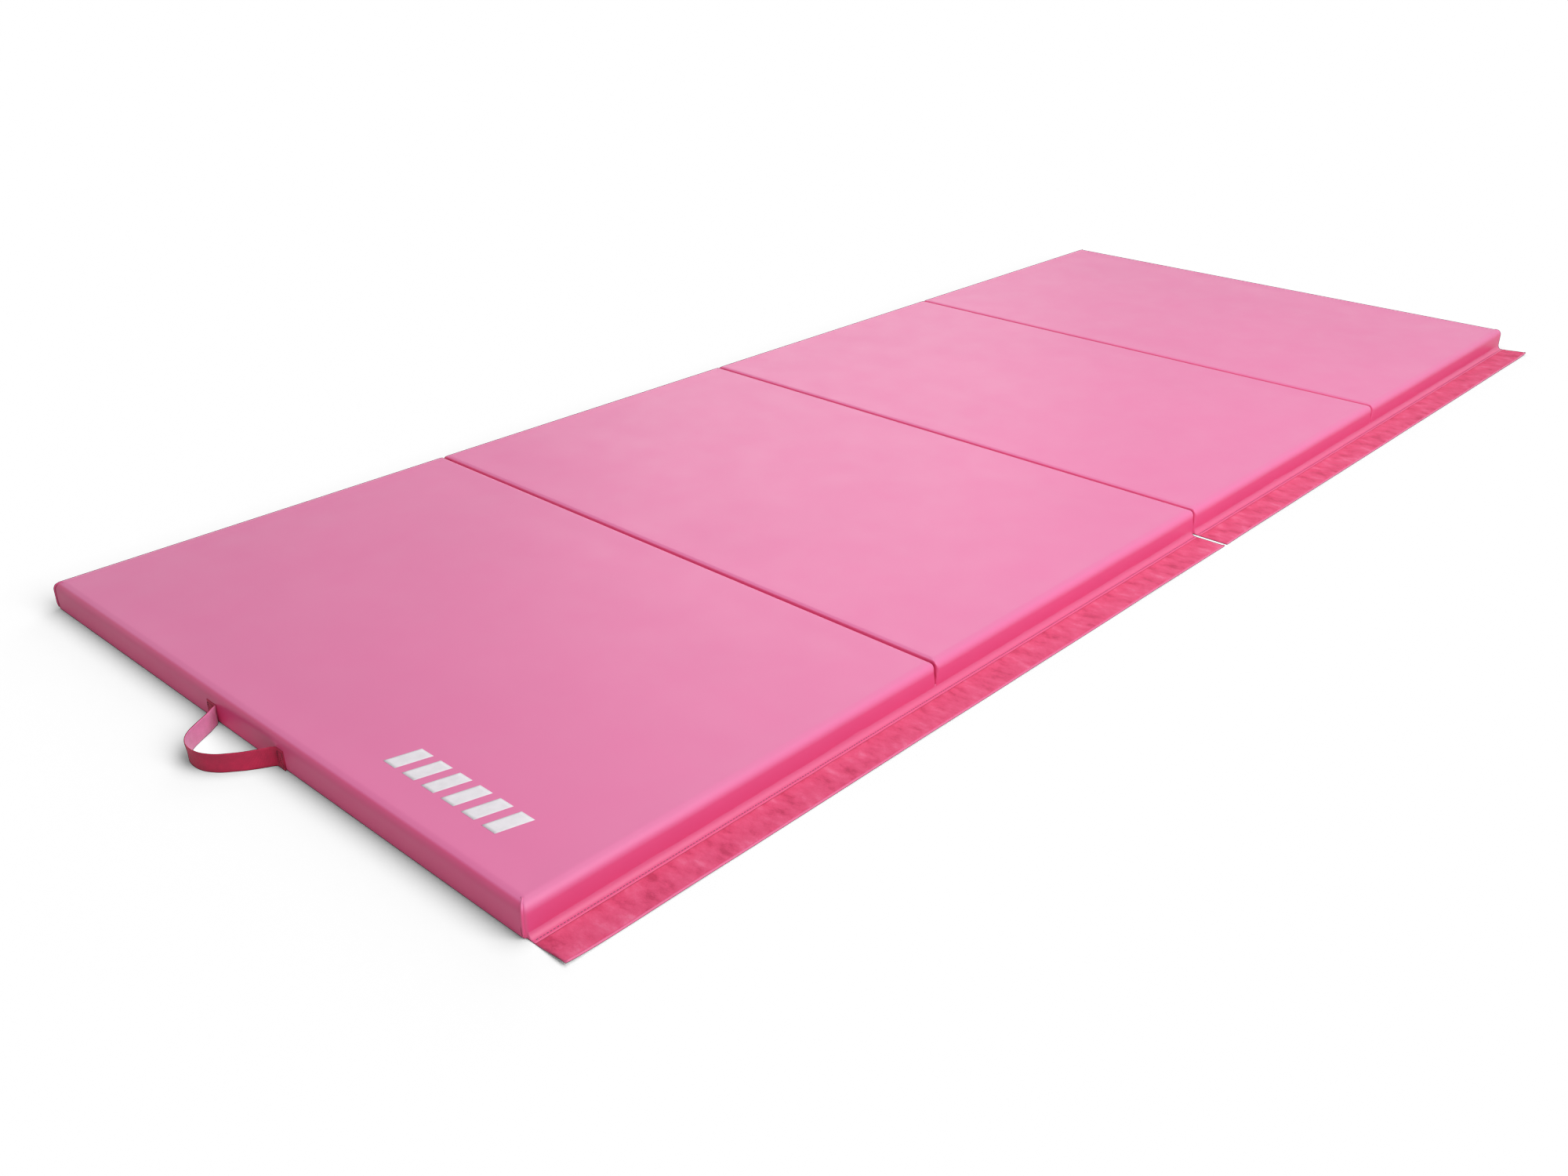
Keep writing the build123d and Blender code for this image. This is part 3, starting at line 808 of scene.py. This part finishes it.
def handle_route():
    """The webbing's middle line as (reach out, place along): sewn end, loop, sewn end."""
    return [(0.0011, 0.1080), (0.0011, 0.1000), (0.0011, 0.0900), (0.0018, 0.0855), (0.0050, 0.0810),
            (0.0120, 0.0765), (0.0210, 0.0700), (0.0330, 0.0630), (0.0450, 0.0560), (0.0560, 0.0490),
            (0.0660, 0.0400), (0.0730, 0.0300), (0.0775, 0.0180), (0.0785, 0.0040), (0.0765, -0.0090),
            (0.0710, -0.0210), (0.0610, -0.0345), (0.0450, -0.0475), (0.0280, -0.0590), (0.0140, -0.0670),
            (0.0060, -0.0715), (0.0020, -0.0745), (0.0011, -0.0780), (0.0011, -0.0860), (0.0011, -0.0940)]


def smooth_route(route, count):
    """A smooth curve through the route's points, as evenly spaced places."""
    points = np.array(route)
    fine = []
    for k in range(len(points) - 1):
        p0 = points[max(k - 1, 0)]
        p1, p2 = points[k], points[k + 1]
        p3 = points[min(k + 2, len(points) - 1)]
        for t in np.linspace(0, 1, 12, endpoint=False):
            fine.append(0.5 * ((2 * p1) + (p2 - p0) * t + (2 * p0 - 5 * p1 + 4 * p2 - p3) * t * t
                               + (3 * p1 - p0 - 3 * p2 + p3) * t ** 3))
    fine.append(points[-1])
    fine = np.array(fine)
    run = np.concatenate([[0], np.cumsum(np.linalg.norm(np.diff(fine, axis=0), axis=1))])
    even = np.linspace(0, run[-1], count)
    return np.column_stack([np.interp(even, run, fine[:, 0]), np.interp(even, run, fine[:, 1])])


def make_handle(end_name, side, panel):
    """A carry handle: one length of webbing on edge, its ends turned outward and sewn to the end wall."""
    tabs = box(f"handle_tabs_{end_name}")
    bottom, top = tabs[0][2], tabs[1][2]
    wall = MAT_LOW if side < 0 else MAT_HIGH
    line = smooth_route(handle_route(), 170)
    thick = 0.0016
    heights = np.linspace(0, 1, 13)
    sections = []
    tangents = np.gradient(line, axis=0)
    tangents /= np.linalg.norm(tangents, axis=1)[:, None]
    for k, (point, tangent) in enumerate(zip(line, tangents)):
        normal = np.array([-tangent[1], tangent[0]])
        out = float(smoothstep(0.002, 0.050, point[0]))
        # Crumpled where it is sewn on, smooth round the loop
        crumple = 1 - float(smoothstep(0.006, 0.026, point[0]))
        ring = []
        for face in (1, -1):
            for h in (heights if face > 0 else heights[::-1]):
                edge = min(h, 1 - h)
                half = thick / 2 * (0.55 + 0.45 * float(smoothstep(0, 0.10, edge)))
                lean = 0.0020 * out * (h - 0.5)
                cup = 0.0008 * out * (2 * h - 1) ** 2
                dent = 0.0009 * crumple * noise.noise(Vector((k / 3.5, h * 3.0, side)))
                place = point + normal * (face * half + cup + dent) + np.array([lean, 0.0])
                droop = 1 - (0.03 if side < 0 else 0.30) * out
                ripple = 0.0006 * out * noise.noise(Vector((k / 22.0, 3.0, side)))
                z = bottom + (top - bottom) * h * droop + ripple
                ring.append((wall + side * max(place[0], 0.0002), -side * place[1], z))
        sections.append(ring)
    strap = swept_band(f"handle_{end_name}", sections, WEBBING)
    # The inner face, towards the wall, gets a paler copy of the webbing: painted light and sheen on that face
    strap.data.materials.append(WEBBING_PAINTED_LIGHT)
    ring_size = 2 * len(heights)
    for polygon in strap.data.polygons[:(len(sections) - 1) * ring_size]:
        if len(heights) <= polygon.index % ring_size < ring_size - 1:
            polygon.material_index = 1
    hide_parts(f"handle_loop_{end_name}", f"handle_tabs_{end_name}")
    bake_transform(strap)
    make_tab_stitches(end_name, side, panel, wall, bottom, top)


def make_tab_stitches(end_name, side, panel, wall, bottom, top):
    """A stitched box with a cross on each sewn end."""
    places = []
    inset = 0.0040
    for low, high in ((0.0915, 0.1065), (-0.0925, -0.0790)):
        corners = ((low, bottom + inset), (high, bottom + inset), (high, top - inset), (low, top - inset))
        runs = list(zip(corners, corners[1:] + corners[:1]))
        runs += [(corners[0], corners[2]), (corners[1], corners[3])]
        for (y1, z1), (y2, z2) in runs:
            count = max(2, round(math.hypot(y2 - y1, z2 - z1) / 0.0032))
            for k in range(count):
                t = (k + 0.5) / count
                y, z = y1 + (y2 - y1) * t, z1 + (z2 - z1) * t
                along = (0, -side * (y2 - y1), z2 - z1)
                places.append(((wall + side * 0.0022, -side * y, z), along, (side, 0, 0)))
    stitches = capsules(f"handle_stitches_{end_name}", places, 0.0024, 0.00036, DARK_THREAD_AND_SEAM_SHADE)
    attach(stitches, f"panel_{panel}")


# ---------------------------------------------------------------- zips

ZIP_FACE = HALF_WIDTH + 0.0014
ZIP_HALF_TAPE = 0.0088
ZIP_SEAM_LINES = (-0.0078, 0.0078)


def make_zip_tape(number, low, high, middle):
    """The zip's woven tape, its long edges rolled down to the wall."""
    back = HALF_WIDTH - 0.0004
    sections = []
    for x in np.linspace(low, high, 200):
        ring = []
        for h in np.linspace(-1, 1, 11):
            ripple = 0.00015 * noise.noise(Vector((x / 0.02, h * 2.0, number)))
            ring.append((x, ZIP_FACE + ripple - 0.0006 * abs(h) ** 6, middle + h * ZIP_HALF_TAPE))
        ring += [(x, back, middle + ZIP_HALF_TAPE), (x, back, middle - ZIP_HALF_TAPE)]
        sections.append(ring)
    tape = swept_band(f"zip_tape_cloth_{number}", sections, ZIP_TAPE)
    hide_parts(f"zip_tape_{number}")
    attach(tape, f"panel_{number}")


def make_zip_coil(number, low, high, middle):
    """The coil's turns, leaning in from each side in turn."""
    teeth = []
    pitch = 0.0020
    margin = 0.004
    for k in range(int((high - low - 2 * margin) / pitch)):
        x = low + margin + k * pitch
        shift = 0.0009 * (1 if k % 2 else -1)
        teeth.append(((x, ZIP_FACE + 0.0004, middle + shift), (0.15, 0, 1), (0, 1, 0)))
    coil = capsules(f"zip_coil_{number}", teeth, 0.0030, 0.0007, COIL)
    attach(coil, f"panel_{number}")


def make_zip_stitches(number, low, high, middle):
    """A row of stitches along each long edge of the tape."""
    seams = []
    pitch = 0.0040
    for line in ZIP_SEAM_LINES:
        for k in range(int((high - low - 0.006) / pitch)):
            x = low + 0.005 + k * pitch
            seams.append(((x, ZIP_FACE + 0.0001, middle + line), (1, 0, 0), (0, 1, 0)))
    thread = capsules(f"zip_stitches_{number}", seams, 0.0026, 0.0003, PINK_THREAD)
    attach(thread, f"panel_{number}")


def make_zip(number):
    """A zip in the long wall: woven tape, a coil of interlocking teeth, stitches, slider and pull."""
    (low, _, bottom), (high, _, top) = box(f"zip_tape_{number}")
    middle = (bottom + top) / 2
    make_zip_tape(number, low, high, middle)
    make_zip_coil(number, low, high, middle)
    make_zip_stitches(number, low, high, middle)
    for stem in ("zip_slider", "zip_pull"):
        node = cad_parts[f"{stem}_{number}"]
        finish_node(node, METAL)
        soften = node.modifiers.new("worn_edges", "BEVEL")
        soften.width = 0.0003
        soften.segments = 2
        soften.limit_method = "ANGLE"


def finish_node(node, material):
    """Gives a CAD node's slots a material."""
    if not node.data.materials:
        node.data.materials.append(material)
    for slot in node.material_slots:
        slot.material = material


# ---------------------------------------------------------------- print

def make_print(panel):
    """A plain printed row of slanted white bars near one corner of the first panel."""
    bars = 6
    length, width, pitch, slant = 0.050, 0.026, 0.0415, 0.014
    first_y = -0.254
    x_middle = MAT_LOW + 0.088
    film = 0.00006
    points = []
    faces = []
    steps = 10
    down = Vector((0, 0, -1))
    for bar in range(bars):
        start = len(points)
        for u in np.linspace(-0.5, 0.5, steps):
            for v in np.linspace(-0.5, 0.5, steps):
                x = x_middle + u * length
                y = first_y - bar * pitch + v * width - u * slant
                _, place, _, _ = panel.ray_cast(Vector((x, y + MIDDLE_Y, 2 * THICKNESS)), down)
                points.append((x, y, place.z + film))
        faces += lattice_faces(steps, steps, start=start)
    ink = make_object("print_bars", points, faces, INK)
    skin = ink.modifiers.new("ink_film", "SOLIDIFY")
    skin.thickness = 2 * film
    skin.offset = -1
    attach(ink, "panel_1")


# ---------------------------------------------------------------- camera, floor and light

def make_camera():
    """The camera at the photograph's viewing angle."""
    data = bpy.data.cameras.new("camera")
    data.lens = 34.10
    data.sensor_width = 36.0
    camera = bpy.data.objects.new("camera", data)
    camera.location = (-2.268, -1.707 + MIDDLE_Y, 1.100)
    yaw, pitch = math.radians(42.81), math.radians(26.52)
    toward = Vector((math.cos(yaw) * math.cos(pitch), math.sin(yaw) * math.cos(pitch), -math.sin(pitch)))
    camera.rotation_euler = toward.to_track_quat("-Z", "Y").to_euler()
    bpy.context.scene.collection.objects.link(camera)
    bpy.context.scene.camera = camera


def make_floor():
    """A plain pale floor that only takes shadows, in front of a pale background."""
    mesh = bpy.data.meshes.new("floor")
    reach = 12.0
    mesh.from_pydata([(-reach, -reach, 0), (reach, -reach, 0), (reach, reach, 0), (-reach, reach, 0)], [],
                     [(0, 1, 2, 3)])
    material, tree, shader = node_material("floor_paper")
    where = place_coordinates(tree)
    tint = ramp(tree, noise_value(tree, where, 4.0), ((0.3, (0.93, 0.93, 0.93)), (0.7, (0.96, 0.96, 0.96))))
    tree.links.new(tint, shader.inputs["Base Color"])
    shader.inputs["Roughness"].default_value = 0.9
    mesh.materials.append(material)
    floor = bpy.data.objects.new("floor", mesh)
    floor.location.z = -0.0002
    bpy.context.scene.collection.objects.link(floor)
    floor.is_shadow_catcher = True


def area_light(name, place, target, size, power):
    """A soft square light."""
    data = bpy.data.lights.new(name, "AREA")
    data.energy = power
    data.size = size
    light = bpy.data.objects.new(name, data)
    light.location = place
    light.rotation_euler = (Vector(target) - Vector(place)).to_track_quat("-Z", "Y").to_euler()
    bpy.context.scene.collection.objects.link(light)


def make_light():
    """A white surround, dim as a light but bright in reflections, and three soft lights."""
    world = bpy.data.worlds.new("surround")
    world.use_nodes = True
    tree = world.node_tree
    tree.nodes.clear()
    out = tree.nodes.new("ShaderNodeOutputWorld")
    seen = tree.nodes.new("ShaderNodeLightPath")
    backdrop = add_node(tree, "ShaderNodeBackground", {"Color": (1, 1, 1, 1), "Strength": 1.0})
    ambient = add_node(tree, "ShaderNodeBackground", {"Color": (1, 1, 1, 1), "Strength": 0.20})
    mirrored = add_node(tree, "ShaderNodeBackground", {"Color": (0.96, 0.96, 1.0, 1), "Strength": 1.27})
    indirect = tree.nodes.new("ShaderNodeMixShader")
    tree.links.new(seen.outputs["Is Glossy Ray"], indirect.inputs["Fac"])
    tree.links.new(ambient.outputs["Background"], indirect.inputs[1])
    tree.links.new(mirrored.outputs["Background"], indirect.inputs[2])
    mix = tree.nodes.new("ShaderNodeMixShader")
    tree.links.new(seen.outputs["Is Camera Ray"], mix.inputs["Fac"])
    tree.links.new(indirect.outputs["Shader"], mix.inputs[1])
    tree.links.new(backdrop.outputs["Background"], mix.inputs[2])
    tree.links.new(mix.outputs["Shader"], out.inputs["Surface"])
    bpy.context.scene.world = world
    area_light("top", (0.3, -0.4, 3.4), (0.3, -0.2, 0.0), 3.2, 52.0)
    area_light("key", (-0.4, -3.4, 2.7), (0.1, 0.0, 0.0), 3.2, 110.0)
    area_light("sheen", (1.9, 2.0, 1.7), (0.0, 0.0, 0.0), 2.0, 12.0)
    bpy.context.scene.view_settings.view_transform = "Standard"


# ---------------------------------------------------------------- assembly

def build():
    """Every piece, then the stage."""
    make_camera()
    make_floor()
    panels = {number: make_panel(number) for number in PANELS}
    for number, end in ((1, -1), (4, 1)):
        for side in (-1, 1):
            corner_welt(number, side, end)
    for fold in FOLDS:
        make_fold_strip(fold)
    make_edge_strips()
    make_handle("near", -1, 1)
    make_handle("far", 1, 4)
    for number in PANELS:
        make_zip(number)
    bpy.context.view_layer.update()
    make_print(panels[1])
    make_light()


build()
